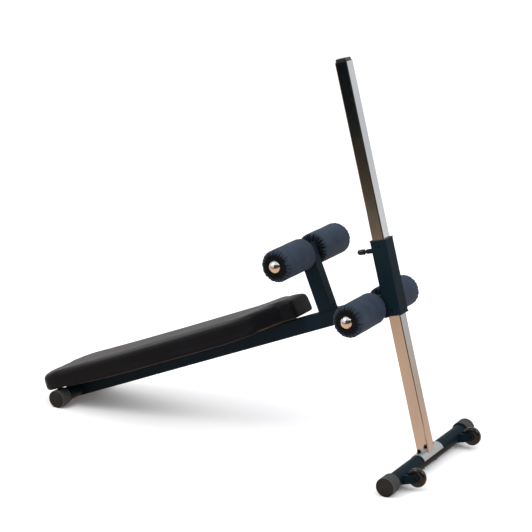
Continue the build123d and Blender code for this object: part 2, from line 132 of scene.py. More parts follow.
class Shader:
    """A Principled material, with short calls for the nodes in front of it.

    Noise scales are in cycles per metre, bump depths in metres, and colours are linear.
    """

    def __init__(self, name, **sockets):
        self.material = bpy.data.materials.new(name)
        self.material.use_nodes = True
        self.tree = self.material.node_tree
        self.bsdf = self.tree.nodes["Principled BSDF"]
        self.where = self.add("ShaderNodeTexCoord").outputs["Object"]
        self.normal = self.add("ShaderNodeNewGeometry").outputs["Normal"]
        self.set(**sockets)

    def set(self, **sockets):
        """Sets the Principled node's own sockets."""
        for key, value in sockets.items():
            self.bsdf.inputs[key.replace("_", " ")].default_value = value

    def add(self, kind, settings=None, **sockets):
        """A new node, with its settings, and a value or a link for each named socket."""
        node = self.tree.nodes.new(kind)
        for key, value in (settings or {}).items():
            setattr(node, key, value)
        for key, value in sockets.items():
            self.feed(node.inputs[key.replace("_", " ")], value)
        return node

    def feed(self, socket, value):
        """Links a socket to another one, or sets its value."""
        if isinstance(value, bpy.types.NodeSocket):
            self.tree.links.new(value, socket)
        else:
            socket.default_value = value

    def stretched(self, scale, turn=(0, 0, 0)):
        """The object's coordinates, scaled unevenly, for streaks and brushing."""
        node = self.add("ShaderNodeMapping", Vector=self.where, Scale=scale, Rotation=turn)
        return node.outputs["Vector"]

    def noise(self, scale, detail=3.0, roughness=0.5, where=None):
        node = self.add("ShaderNodeTexNoise", Vector=where or self.where, Scale=scale,
                        Detail=detail, Roughness=roughness)
        return node.outputs["Fac"]

    def ramp(self, factor, stops):
        """A colour ramp; each stop is (position, grey or colour)."""
        node = self.add("ShaderNodeValToRGB", Fac=factor)
        set_stops(node, stops)
        return node.outputs["Color"]

    def mix(self, factor, first, second):
        """Mixes two colours; each is a colour or a link."""
        node = self.add("ShaderNodeMix", {"data_type": "RGBA"})
        self.feed(node.inputs["Factor"], factor)
        for socket, value in zip(node.inputs[MIX_COLOURS], (first, second)):
            self.feed(socket, (*value, 1) if isinstance(value, tuple) else value)
        return node.outputs[MIX_RESULT]

    def math(self, operation, first, second=0.0):
        node = self.add("ShaderNodeMath", {"operation": operation})
        self.feed(node.inputs[0], first)
        self.feed(node.inputs[1], second)
        return node.outputs[0]

    def span(self, value, low, high):
        """Maps a 0 to 1 value to low to high."""
        return self.math("ADD", self.math("MULTIPLY", value, high - low), low)

    def bump(self, height, depth, under=None):
        """Adds a bump of this depth in metres, over another bump if there is one."""
        node = self.add("ShaderNodeBump", Height=height, Distance=depth, Strength=1.0)
        if under is not None:
            self.tree.links.new(under, node.inputs["Normal"])
        return node.outputs["Normal"]

    def finish(self, colour, roughness, normal=None):
        """Feeds the Principled node, and gives the material."""
        for key, value in (("Base Color", colour), ("Roughness", roughness), ("Normal", normal)):
            if value is not None:
                self.feed(self.bsdf.inputs[key], value)
        return self.material


def edge_wear_and_highlight(shader, grain, radius=1.0 * MM):
    """Up to 1 along the edges and 0 elsewhere, broken up by noise: where wear and a painted highlight go."""
    rounded = shader.add("ShaderNodeBevel", {"samples": 6}, Radius=radius).outputs["Normal"]
    same = shader.add("ShaderNodeVectorMath", {"operation": "DOT_PRODUCT"})
    shader.feed(same.inputs[0], rounded)
    shader.feed(same.inputs[1], shader.normal)
    edge = shader.ramp(same.outputs["Value"], [(0.88, 1.0), (0.985, 0.0)])
    return shader.math("MULTIPLY", edge, shader.noise(grain))


def wear_and_highlight_mix(shader, colour, grain, strength, edge_colour):
    """A colour that gives way to a lighter one along the edges, which stands for wear and is partly a painted
    highlight.
    """
    wear_and_highlight = edge_wear_and_highlight(shader, grain)
    return shader.mix(shader.math("MULTIPLY", wear_and_highlight, strength), colour, edge_colour)


def powder_coat():
    """A blue-black coat with a fine orange peel."""
    shader = Shader("powder_coat", Specular_IOR_Level=0.06)
    cloud = shader.noise(7.0, 4)
    colour = shader.ramp(cloud, [(0.3, (0.0026, 0.0088, 0.0135)), (0.7, (0.0044, 0.0126, 0.0186))])
    # Lighter edges: wear, and partly a painted highlight along them.
    colour = wear_and_highlight_mix(shader, colour, 160.0, 0.35, (0.05, 0.06, 0.065))
    orange_peel = shader.noise(420.0, 2)
    rough = shader.span(shader.noise(26.0, 4), 0.42, 0.54)
    return shader.finish(colour, rough, shader.bump(orange_peel, 0.00006))


def post_chrome():
    """Bright chrome with a slight haze, long scratches and gentle waves."""
    shader = Shader("post_chrome", Metallic=1.0)
    haze = shader.noise(5.0, 3, where=shader.stretched((1, 1, 0.35)))
    colour = shader.ramp(haze, [(0.3, (0.56, 0.565, 0.57)), (0.7, (0.66, 0.665, 0.67))])
    scratches = shader.noise(1.0, 5, 0.7, where=shader.stretched((900, 900, 14)))
    rough = shader.math("ADD", shader.span(haze, 0.035, 0.09),
                        shader.math("MULTIPLY", scratches, 0.05))
    waves = shader.noise(2.2, 2, where=shader.stretched((6, 6, 2.2)))
    normal = shader.bump(waves, 0.0012)
    return shader.finish(colour, rough, shader.bump(scratches, 0.000012, normal))


def brushed_chrome():
    """A duller metal, brushed along the rear foot tube."""
    shader = Shader("brushed_chrome", Metallic=1.0)
    brushing = shader.noise(1.0, 5, 0.7, where=shader.stretched((1500, 26, 1500)))
    colour = shader.ramp(brushing, [(0.3, (0.38, 0.385, 0.375)), (0.7, (0.60, 0.605, 0.59))])
    rough = shader.span(brushing, 0.22, 0.42)
    return shader.finish(colour, rough, shader.bump(brushing, 0.00003))


def dome_chrome():
    """The bright domes in the roller axles' ends, a little smeared."""
    shader = Shader("dome_chrome", Metallic=1.0)
    smear = shader.noise(60.0, 4)
    colour = shader.ramp(smear, [(0.3, (0.74, 0.72, 0.69)), (0.7, (0.84, 0.82, 0.79))])
    scratches = shader.noise(1.0, 4, 0.7, where=shader.stretched((700, 700, 90), (0.6, 0.4, 0)))
    rough = shader.math("ADD", shader.span(smear, 0.05, 0.11),
                        shader.math("MULTIPLY", scratches, 0.06))
    return shader.finish(colour, rough, shader.bump(scratches, 0.00001))


def plastic(name, dark, light, rough, grain, depth, gloss, edges=0.5, rib_highlight=0.0):
    """Black plastic, with painted shade in its creases, and lighter edges that stand for wear
    and are partly a painted highlight; any ribs get a painted highlight too.

    Ribs run along y, so the ribs' painted highlight goes to the faces that look away from the y axis.
    """
    shader = Shader(name, Specular_IOR_Level=gloss)
    cloud = shader.noise(18.0, 4)
    colour = shader.ramp(cloud, [(0.3, dark), (0.7, light)])
    # Painted shade: creases and grooves that the ambient occlusion finds are made near-black.
    open_to_air = shader.add("ShaderNodeAmbientOcclusion", {"samples": 8}, Distance=6 * MM)
    crease = shader.ramp(open_to_air.outputs["AO"], [(0.45, 1.0), (0.85, 0.0)])
    # A painted highlight on the ribbed faces, which look away from the y axis.
    if rib_highlight:
        facing = shader.add("ShaderNodeSeparateXYZ", Vector=shader.normal).outputs["Y"]
        around = shader.math("SUBTRACT", 1.0, shader.math("ABSOLUTE", facing))
        share = shader.math("MULTIPLY", around, rib_highlight)
        colour = shader.mix(share, colour, (0.11, 0.115, 0.118))
    # The near-black painted shade in the creases.
    colour = shader.mix(crease, colour, (0.0012, 0.0011, 0.0010))
    # Lighter edges: wear, and partly a painted highlight along them.
    colour = wear_and_highlight_mix(shader, colour, 300.0, edges, (0.12, 0.115, 0.11))
    rough = shader.span(shader.noise(40.0, 3), *rough)
    return shader.finish(colour, rough, shader.bump(shader.noise(grain, 3), depth))


def black_zinc():
    """Small black steel parts: bolts, screws, discs and axles."""
    shader = Shader("black_zinc", Specular_IOR_Level=0.05)
    cloud = shader.noise(90.0, 4)
    colour = shader.ramp(cloud, [(0.3, (0.0030, 0.0030, 0.0034)), (0.7, (0.0065, 0.0065, 0.0070))])
    # Lighter edges: wear, and partly a painted highlight along them.
    colour = wear_and_highlight_mix(shader, colour, 500.0, 0.6, (0.06, 0.058, 0.055))
    return shader.finish(colour, shader.span(cloud, 0.30, 0.48), shader.bump(cloud, 0.00003))


def zinc_steel():
    """Bright turned steel, for the pull pin's rod and spring."""
    shader = Shader("zinc_steel", Metallic=1.0)
    turned = shader.noise(1.0, 4, 0.7, where=shader.stretched((1200, 120, 1200)))
    colour = shader.ramp(turned, [(0.3, (0.42, 0.42, 0.43)), (0.7, (0.60, 0.60, 0.61))])
    return shader.finish(colour, shader.span(turned, 0.25, 0.42), shader.bump(turned, 0.00002))


BOARD_TURN = (0, -0.39, 0)  # lines the grain up with the leaning pad


def plywood():
    """Dark stained plywood, its grain along the pad."""
    shader = Shader("plywood", Specular_IOR_Level=0.3)
    grain = shader.noise(1.0, 6, 0.65, where=shader.stretched((9, 70, 70), BOARD_TURN))
    colour = shader.ramp(grain, [(0.25, (0.045, 0.026, 0.013)), (0.5, (0.085, 0.052, 0.029)),
                                 (0.8, (0.130, 0.086, 0.050))])
    pores = shader.noise(1.0, 3, where=shader.stretched((60, 900, 900), BOARD_TURN))
    colour = shader.mix(shader.math("MULTIPLY", pores, 0.35), colour, (0.030, 0.017, 0.009))
    return shader.finish(colour, shader.span(grain, 0.6, 0.8), shader.bump(pores, 0.0001))


def leatherette():
    """Black grained leatherette, with a grey sheen at low angles."""
    shader = Shader("leatherette", Specular_IOR_Level=0.10, Sheen_Weight=0.09,
                    Sheen_Roughness=0.30)
    cloud = shader.noise(5.0, 4)
    colour = shader.ramp(cloud, [(0.3, (0.0022, 0.0023, 0.0032)), (0.7, (0.0040, 0.0042, 0.0056))])
    cells = shader.add("ShaderNodeTexVoronoi", {"feature": "DISTANCE_TO_EDGE"},
                       Vector=shader.where, Scale=620.0)
    creases = shader.ramp(cells.outputs["Distance"], [(0.0, 0.0), (0.25, 1.0)])
    grain = shader.math("ADD", creases, shader.math("MULTIPLY", shader.noise(1500.0, 2), 0.4))
    rough = shader.span(shader.noise(14.0, 4), 0.40, 0.50)
    return shader.finish(colour, rough, shader.bump(grain, 0.00005))


def roller_cloth():
    """A tight slate-navy cloth, with painted shade in its pleats and on its gathered ends."""
    shader = Shader("roller_cloth", Sheen_Weight=0.06, Sheen_Roughness=0.4,
                    Specular_IOR_Level=0.12)
    shader.set(Sheen_Tint=(0.45, 0.50, 0.62, 1))
    cloud = shader.noise(16.0, 4)
    colour = shader.ramp(cloud, [(0.3, (0.0165, 0.0255, 0.0405)), (0.7, (0.0250, 0.0365, 0.0570))])
    # The gather attribute holds painted shade: dark in the pleats and on the gathered ends.
    gather = shader.add("ShaderNodeAttribute", {"attribute_name": "gather"}).outputs["Fac"]
    colour = shader.mix(gather, colour, (0.0016, 0.0018, 0.0024))
    weave = shader.add("ShaderNodeTexVoronoi", Vector=shader.where, Scale=900.0)
    slub = shader.noise(1.0, 3, where=shader.stretched((1300, 160, 1300)))
    height = shader.math("ADD", weave.outputs["Distance"], shader.math("MULTIPLY", slub, 0.7))
    rough = shader.span(shader.noise(30.0, 3), 0.62, 0.78)
    return shader.finish(colour, rough, shader.bump(height, 0.00010))


# Each slot in the record, and its material.
MATERIALS = {
    "frame_paint": powder_coat(),
    "post_chrome": post_chrome(),
    "saddle_chrome": brushed_chrome(),
    "dome_chrome": dome_chrome(),
    # The caps' ribs get a painted highlight.
    "cap_plastic": plastic("cap_plastic", (0.0105, 0.0095, 0.0085), (0.019, 0.0165, 0.0150),
                           rough=(0.42, 0.58), grain=900.0, depth=0.00006, gloss=0.12,
                           edges=1.0, rib_highlight=0.5),
    "bush_plastic": plastic("bush_plastic", (0.006, 0.006, 0.007), (0.011, 0.011, 0.012),
                            rough=(0.35, 0.50), grain=1100.0, depth=0.00004, gloss=0.15),
    "black_steel": black_zinc(),
    "bare_steel": zinc_steel(),
    "knob_plastic": plastic("knob_plastic", (0.003, 0.003, 0.003), (0.005, 0.005, 0.0055),
                            rough=(0.12, 0.22), grain=400.0, depth=0.00002, gloss=0.35),
    "core_plastic": plastic("core_plastic", (0.03, 0.03, 0.03), (0.05, 0.05, 0.05),
                            rough=(0.45, 0.6), grain=900.0, depth=0.00004, gloss=0.3),
    "wheel_plastic": plastic("wheel_plastic", (0.0035, 0.0033, 0.0042), (0.0065, 0.006, 0.0075),
                             rough=(0.08, 0.16), grain=260.0, depth=0.00003, gloss=0.40),
    "board_wood": plywood(),
    "roller_cover": roller_cloth(),
    "pad_cover": leatherette(),
}


def paint_cad():
    """Gives each CAD node the material of its slot in the record."""
    slots = {part["node"]: part["material_slot"] for part in record["subparts"]}
    for name, node in nodes.items():
        node.data.materials.clear()
        node.data.materials.append(MATERIALS[slots[name]])


paint_cad()


def add_piece(name, vertices, faces, body, slot):
    """A new smooth piece in the row frame, that rides on a body and has a slot's material."""
    mesh = bpy.data.meshes.new(name)
    mesh.from_pydata([tuple(v) for v in vertices], [], faces)
    mesh.validate()
    mesh.polygons.foreach_set("use_smooth", [True] * len(mesh.polygons))
    piece = bpy.data.objects.new(name, mesh)
    scene.collection.objects.link(piece)
    mesh.materials.append(MATERIALS[slot])
    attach(piece, body)
    return piece


def smoothstep(x):
    """Rises smoothly from 0 at 0 to 1 at 1, and stays level outside."""
    x = np.clip(x, 0.0, 1.0)
    return x * x * (3 - 2 * x)


def wobble(x, y, z, seed):
    """Smooth noise from -1 to 1."""
    return noise.noise(Vector((x + 17.3 * seed, y - 9.1 * seed, z + 4.7 * seed)))


# ---- roller covers -------------------------------------------------------------------------
PLEATS = 25
PLEAT_STEPS = 14          # points round the cover for each pleat
PLEAT_DEPTH = 5.6 * MM
PLEAT_SHIFT = 0.26        # the most that a pleat is out of place, as a share of their pitch
PLEAT_WIDTHS = (0.16, 0.30)    # shares of the pitch
PLEAT_DEPTHS = (0.55, 1.0)     # shares of the full depth
PLEAT_REACHES = (0.55, 1.25)   # a longer reach takes a pleat further along the side
PUFF = 0.25               # how far it stands out between the pleats, as a share of the depth
SLACK = 0.7 * MM          # of the cover over its foam
# The cover's two kinds of unevenness: height, scales round and along, and change of seed.
SOFT_WAVE = (0.55 * MM, 2.2, 16.0, 0)
FINE_WAVE = (0.25 * MM, 9.0, 22.0, 5)
OPENING_R = 0.42          # of the roller's radius, under the disc or the stop ring
ROUNDING = (9.0 * MM, 15.0 * MM)     # at the inner and the outer end
FACE_ROWS, BEND_ROWS, SIDE_ROWS = 9, 12, 20    # on half a cover
SIDE_CROWDING = 1.6       # above 1, the side's rows crowd towards the ends
RIM_GATHER = 0.24         # what is left of the gathers where the side starts
GATHER_FADE = 3.0         # how fast they fade from there to the middle
FOLD_GAIN = 1.25          # how soon a pleat's painted shade is at its darkest
FOLD_SHADE = 0.97         # how dark the painted shade in the pleats is
END_SHADE = 0.72          # how dark the painted shade on the gathered ends is
SHADE_FROM, SHADE_OVER = 3.0 * MM, 14.0 * MM  # where the painted shade on the ends starts and how far it grows, inside the roller's radius


def cover_end(radius, rounding, middle):
    """Half a cover's profile, as (along, radius, gather), from its opening to its middle."""
    opening, flat = OPENING_R * radius, radius - rounding
    points = [(0.0, opening + (flat - opening) * k / FACE_ROWS, 1.0) for k in range(FACE_ROWS)]
    for k in range(BEND_ROWS + 1):
        share = k / BEND_ROWS
        angle = math.pi / 2 * share
        points.append((rounding * (1 - math.cos(angle)), flat + rounding * math.sin(angle),
                       1.0 - (1 - RIM_GATHER) * share))
    for k in range(1, SIDE_ROWS + 1):
        share = (k / SIDE_ROWS) ** SIDE_CROWDING
        points.append((rounding + (middle - rounding) * share, radius,
                       max(0.0, RIM_GATHER - GATHER_FADE * share)))
    return points


def cover_profile(length, radius):
    """A cover's whole profile, from the inner opening to the outer one."""
    inner, outer = (cover_end(radius, rounding, length / 2) for rounding in ROUNDING)
    return inner + [(length - along, r, gather) for along, r, gather in reversed(outer[:-1])]


def drawn_pleats(pick):
    """One end's pleats, each as (place, width, depth, reach), the first two in radians."""
    pitch = 2 * math.pi / PLEATS
    places = [(k + pick.uniform(-PLEAT_SHIFT, PLEAT_SHIFT)) * pitch for k in range(PLEATS)]
    widths = [pick.uniform(*PLEAT_WIDTHS) * pitch for _ in range(PLEATS)]
    depths = [pick.uniform(*PLEAT_DEPTHS) for _ in range(PLEATS)]
    reaches = [pick.uniform(*PLEAT_REACHES) for _ in range(PLEATS)]
    return list(zip(places, widths, depths, reaches))


def folds(pleats, angles, gather):
    """How deep the pleats are at each angle, as shares of the full depth."""
    fold = np.zeros(len(angles))
    for place, width, depth, reach in pleats:
        turn = (angles - place + math.pi) % (2 * math.pi) - math.pi
        fold += depth * gather ** (1.0 / reach) * np.exp(-(turn / width) ** 2)
    return fold


def cloth_wave(wave, x, along, z, seed):
    """A cover's unevenness, where x and z are a place on a unit circle."""
    height, scale_round, scale_along, change = wave
    return height * wobble(x * scale_round, along * scale_along, z * scale_round, seed + change)


def roller_cover(name, body, node, joint, side, seed):
    """A cloth cover round a foam roller, drawn in with gathers at both ends."""
    low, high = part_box(node)
    centre = Vector(joints[joint]["pos_m"])
    radius = (high.x - low.x) / 2
    inner = low.y if side > 0 else high.y
    along, radii, gather = np.array(cover_profile(high.y - low.y, radius)).T
    pick = random.Random(seed)
    ends = [drawn_pleats(pick) for _ in range(2)]
    rows, ring = len(along), PLEATS * PLEAT_STEPS
    angles = np.arange(ring) * 2 * math.pi / ring
    tangent = np.stack([np.gradient(along), np.gradient(radii)], 1)
    tangent /= np.linalg.norm(tangent, axis=1)[:, None]
    normal_along, normal_out = -tangent[:, 1], tangent[:, 0]
    vertices, painted_shade = [], []
    for i in range(rows):
        fold = folds(ends[0] if i < rows / 2 else ends[1], angles, gather[i])
        puff = PUFF * gather[i] * PLEAT_DEPTH
        # Painted shade on the end faces, darker further in from the rim.
        inward = END_SHADE * smoothstep((radius - SHADE_FROM - radii[i]) / SHADE_OVER)
        for j, angle in enumerate(angles):
            x, z = math.cos(angle), math.sin(angle)
            soft = cloth_wave(SOFT_WAVE, x, along[i], z, seed)
            fine = cloth_wave(FINE_WAVE, x, along[i], z, seed)
            push = puff - PLEAT_DEPTH * fold[j] + soft + fine + SLACK
            r = radii[i] + normal_out[i] * push
            y = inner + side * (along[i] + normal_along[i] * push)
            vertices.append((centre.x + r * x, y, centre.z + r * z))
            # Painted shade in each pleat; each point keeps the darker of it and the ends' painted shade.
            deep = max(0.0, min(1.0, FOLD_GAIN * fold[j]))
            painted_shade.append(float(max(FOLD_SHADE * deep, inward)))
    faces = []
    for i in range(rows - 1):
        for j in range(ring):
            a, b = i * ring + j, i * ring + (j + 1) % ring
            quad = (a, b, b + ring, a + ring)
            faces.append(quad if side > 0 else quad[::-1])
    piece = add_piece(name, vertices, faces, body, "roller_cover")
    # The attribute carries the painted shade to the cloth's colour.
    attribute = piece.data.attributes.new("gather", "FLOAT", "POINT")
    attribute.data.foreach_set("value", painted_shade)
    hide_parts(node)


cover_seed = 3             # of the first cover
for place in ("upper", "lower"):
    for side_name, side in SIDES:
        roller = f"{place}_roller_{side_name}"
        roller_cover(f"{roller}_cover", roller, f"{place}_foam_{side_name}", f"{roller}_spin",
                     side, cover_seed)
        cover_seed += 1


# ---- pad cover -----------------------------------------------------------------------------
PAD_VOXEL = 7.0 * MM
PAD_SMOOTHING = 5         # passes, which round the remeshed edges
PAD_PRESSURE = 4.0
PAD_STIFFNESS = 60
PAD_BENDING = 20
PAD_FRAMES = 20
PAD_CAP = 5.0 * MM        # the furthest that the cloth may move
PAD_EVENING = 12          # passes that average the cloth's steps
# Heights start at the cushion's underside. Shares are of its length from the low end, or of its
# thickness. A rise or fade is (where it starts, over how much).
LIP = 13.0 * MM           # the height of the lower lip, which fades out towards both ends
LIP_LOW_FADE = (0.05, 0.30)
LIP_HIGH_FADE = (0.95, 0.22)
PAD_SAG = 1.6 * MM        # of the lower edge at the low end, onto the foot's caps
SAG_BELOW, SAG_OVER = 24.0 * MM, 10.0 * MM
SAG_SHARE = 0.15
PAD_SINK = 4.0 * MM       # how far the top starts below the CAD cushion's, so that it can swell
PAD_RISE_LOW = 2.0 * MM   # how much higher it is towards each end
PAD_RISE_HIGH = 10.0 * MM
RISE_LOW_SHARE = 0.35
RISE_HIGH_FADE = (0.78, 0.18)
TOP_FADE = (0.5, 0.4)     # of the thickness, from below the top
PINNED = 0.30             # of the thickness, which the board holds
CLOTH_QUALITY = 5
CLOTH_MASS = 0.3


def pad_start():
    """The cushion's CAD solid in its own frame, remeshed and rounded off."""
    mesh = nodes["pad_cushion"].data.copy()
    mesh.transform(PAD_FRAME.inverted())
    piece = bpy.data.objects.new("pad_cover", mesh)
    scene.collection.objects.link(piece)
    remesh = piece.modifiers.new("remesh", "REMESH")
    remesh.mode = "VOXEL"
    remesh.voxel_size = PAD_VOXEL
    apply_modifiers(piece)
    smooth = piece.modifiers.new("smooth", "SMOOTH")
    smooth.factor = 0.5
    smooth.iterations = PAD_SMOOTHING
    apply_modifiers(piece)
    return piece


def apply_modifiers(piece):
    """Bakes a piece's modifiers into its mesh."""
    graph = bpy.context.evaluated_depsgraph_get()
    mesh = bpy.data.meshes.new_from_object(piece.evaluated_get(graph))
    piece.modifiers.clear()
    piece.data = mesh


def mesh_points(mesh):
    """A mesh's vertices, one row each."""
    flat = np.empty(len(mesh.vertices) * 3)
    mesh.vertices.foreach_get("co", flat)
    return flat.reshape(-1, 3)


def set_points(mesh, points):
    mesh.vertices.foreach_set("co", points.ravel())
    mesh.update()


def slackened(points, low, high):
    """The cover's points with a fading lip, a sagging edge, and a top with room to swell."""
    thick = high[2] - low[2]
    share = (points[:, 0] - low[0]) / (high[0] - low[0])
    fade = (smoothstep((share - LIP_LOW_FADE[0]) / LIP_LOW_FADE[1])
            * smoothstep((LIP_HIGH_FADE[0] - share) / LIP_HIGH_FADE[1]))
    below = np.minimum(points[:, 2] - (low[2] + LIP), 0)
    points[:, 2] += below * (fade - 1)
    edge = smoothstep((low[2] + SAG_BELOW - points[:, 2]) / SAG_OVER)
    points[:, 2] -= PAD_SAG * edge * smoothstep(1 - share / SAG_SHARE)
    top = smoothstep((points[:, 2] - (high[2] - TOP_FADE[0] * thick)) / (TOP_FADE[1] * thick))
    at_low = smoothstep(1 - share / RISE_LOW_SHARE)
    at_high = smoothstep((share - RISE_HIGH_FADE[0]) / RISE_HIGH_FADE[1])
    points[:, 2] += (PAD_RISE_LOW * at_low + PAD_RISE_HIGH * at_high - PAD_SINK) * top
    return points


def evened(mesh, steps):
    """Averages each point's step with its neighbours', which takes out the small ripples."""
    edges = np.array([edge.vertices[:] for edge in mesh.edges])
    count = np.zeros(len(steps))
    np.add.at(count, edges.ravel(), 1)
    for _ in range(PAD_EVENING):
        total = np.zeros_like(steps)
        np.add.at(total, edges[:, 0], steps[edges[:, 1]])
        np.add.at(total, edges[:, 1], steps[edges[:, 0]])
        steps = 0.5 * steps + 0.5 * total / count[:, None]
    return steps


def swell(piece, pinned):
    """Blows the cover up a little by cloth simulation, and keeps each point within the cap."""
    start = mesh_points(piece.data)
    group = piece.vertex_groups.new(name="pinned")
    group.add([int(i) for i in np.nonzero(pinned)[0]], 1.0, "REPLACE")
    cloth = piece.modifiers.new("cloth", "CLOTH")
    settings = cloth.settings
    settings.quality = CLOTH_QUALITY
    settings.mass = CLOTH_MASS
    settings.tension_stiffness = PAD_STIFFNESS
    settings.compression_stiffness = PAD_STIFFNESS
    settings.bending_stiffness = PAD_BENDING
    settings.use_pressure = True
    settings.uniform_pressure_force = PAD_PRESSURE
    settings.vertex_group_mass = "pinned"
    settings.effector_weights.gravity = 0
    cloth.collision_settings.use_collision = False
    cloth.point_cache.frame_end = PAD_FRAMES
    for number in range(1, PAD_FRAMES + 1):
        scene.frame_set(number)
    graph = bpy.context.evaluated_depsgraph_get()
    swollen = mesh_points(piece.evaluated_get(graph).data)
    piece.modifiers.clear()
    piece.vertex_groups.clear()
    scene.frame_set(1)
    step = evened(piece.data, swollen - start)
    size = np.linalg.norm(step, axis=1)
    step *= (np.minimum(size, PAD_CAP) / np.maximum(size, 1e-9))[:, None]
    set_points(piece.data, start + step)


def pad_cover():
    """The pad's cover, from the CAD cushion. Its frame is PAD_FRAME until it is done."""
    cad = node_points("pad_cushion", PAD_FRAME)
    low, high = cad.min(0), cad.max(0)
    piece = pad_start()
    points = slackened(mesh_points(piece.data), low, high)
    set_points(piece.data, points)
    swell(piece, points[:, 2] < low[2] + PINNED * (high[2] - low[2]))
    finer = piece.modifiers.new("finer", "SUBSURF")
    finer.levels = 1
    apply_modifiers(piece)
    piece.data.transform(PAD_FRAME)
    piece.data.materials.clear()
    piece.data.materials.append(MATERIALS["pad_cover"])
    piece.data.polygons.foreach_set("use_smooth", [True] * len(piece.data.polygons))
    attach(piece, "carriage")
    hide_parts("pad_cushion")
    return piece


pad = pad_cover()


# ---- seams, stitches and welds -------------------------------------------------------------
BEAD_SIDES = 8
SEAM_R = 0.9 * MM
SEAM_DROP = 17.0 * MM     # the seam round the pad, below its top
SEAM_STEP = 6.0 * MM
CREASE_STEP = 3.0 * MM
CREASE_FROM = 10.0 * MM   # above the cushion's underside
TONGUE_END = 30.0 * MM    # a length of the tongue on which it has its full width
TONGUE_MARGIN = 1.5 * MM
STITCH_DROP = 3.2 * MM
STITCH_PITCH = 5.5 * MM
STITCH_L = 3.6 * MM
STITCH_R = 0.5 * MM
# Where a stitch is pinched in, as shares of its length and its radius.
STITCH_SHAPE = ((-0.5, 0.3), (-0.3, 1.0), (0.3, 1.0), (0.5, 0.3))
WELD_R = 2.2 * MM
WELD_STEP = 0.8 * MM
WELD_CORNER = 4.0 * MM
WELD_LIFT = 0.6 * MM      # of a bead's middle off the face it is on
SADDLE_LIFT = 0.4 * MM
JOINT_BAND = 1.0 * MM     # how near a tube's points are to its joint to count as its end
CORNER_STEPS = 6
RIPPLE = 3.4 * MM         # the length of a ripple, which the bead's solidifying leaves
RIPPLE_DEPTH = 0.10       # shares of the bead's radius
WELD_NOISE = 0.12
WELD_NOISE_SCALE = 60
UP, AHEAD = Vector((0, 0, 1)), Vector((1, 0, 0))


def bead_mesh(path, radii, guide, closed):
    """Vertices and faces of a round bead along a path. The guide is never along the path."""
    count = len(path)
    vertices, faces = [], []
    for k, point in enumerate(path):
        behind = path[k - 1] if closed else path[max(k - 1, 0)]
        ahead = path[(k + 1) % count] if closed else path[min(k + 1, count - 1)]
        along = (Vector(ahead) - Vector(behind)).normalized()
        across = along.cross(guide).normalized()
        up = across.cross(along)
        for j in range(BEAD_SIDES):
            angle = 2 * math.pi * j / BEAD_SIDES
            turned = math.cos(angle) * across + math.sin(angle) * up
            vertices.append(Vector(point) + radii[k] * turned)
    for k in range(count if closed else count - 1):
        here, there = k * BEAD_SIDES, (k + 1) % count * BEAD_SIDES
        for j in range(BEAD_SIDES):
            n = (j + 1) % BEAD_SIDES
            faces.append((there + j, there + n, here + n, here + j))
    if not closed:
        last = (count - 1) * BEAD_SIDES
        faces.append(tuple(range(BEAD_SIDES)))
        faces.append(tuple(last + j for j in reversed(range(BEAD_SIDES))))
    return vertices, faces


def resampled(points, step):
    """Evenly spaced points round a closed path, about a step apart."""
    loop = np.array([tuple(point) for point in points] + [tuple(points[0])])
    place = np.concatenate([[0], np.cumsum(np.linalg.norm(np.diff(loop, axis=0), axis=1))])
    count = max(8, round(place[-1] / step))
    marks = np.arange(count) * place[-1] / count
    return np.stack([np.interp(marks, place, loop[:, k]) for k in range(3)], 1)


def section_loop(piece, matrix, height):
    """The closed path where a piece crosses a level of a local frame, in that frame."""
    cut = bmesh.new()
    cut.from_mesh(piece.data)
    cut.transform(matrix.inverted())
    geometry = cut.verts[:] + cut.edges[:] + cut.faces[:]
    found = bmesh.ops.bisect_plane(cut, geom=geometry, plane_co=(0, 0, height),
                                   plane_no=(0, 0, 1))["geom_cut"]
    links = {}
    for edge in found:
        if isinstance(edge, bmesh.types.BMEdge):
            first, second = edge.verts
            links.setdefault(first, []).append(second)
            links.setdefault(second, []).append(first)
    start = max(links, key=lambda vertex: vertex.co.x)
    path, previous, current = [start.co.copy()], start, links[start][0]
    while current is not start:
        path.append(current.co.copy())
        onward = [vertex for vertex in links[current] if vertex is not previous]
        previous, current = current, onward[0]
    cut.free()
    return path


def pad_seams():
    """The seam and stitches that join the pad's top to its sides, and one up each crease."""
    cad = node_points("pad_cushion", PAD_FRAME)
    high = cad.max(0)
    seam = resampled(section_loop(pad, PAD_FRAME, high[2] - SEAM_DROP), SEAM_STEP)
    parts = [bead_mesh(seam, [SEAM_R] * len(seam), UP, True)]
    parts += stitches(section_loop(pad, PAD_FRAME, high[2] - SEAM_DROP - STITCH_DROP))
    parts += crease_seams(cad)
    add_joined("pad_seams", parts, PAD_FRAME, "carriage", "pad_cover")


def stitches(loop):
    """Separate stitches along a closed path."""
    stitched = resampled(loop, STITCH_PITCH)
    parts = []
    for k, point in enumerate(stitched):
        along = Vector(stitched[(k + 1) % len(stitched)] - stitched[k - 1]).normalized()
        path = [Vector(point) + share * STITCH_L * along for share, _ in STITCH_SHAPE]
        parts.append(bead_mesh(path, [share * STITCH_R for _, share in STITCH_SHAPE], UP, False))
    return parts


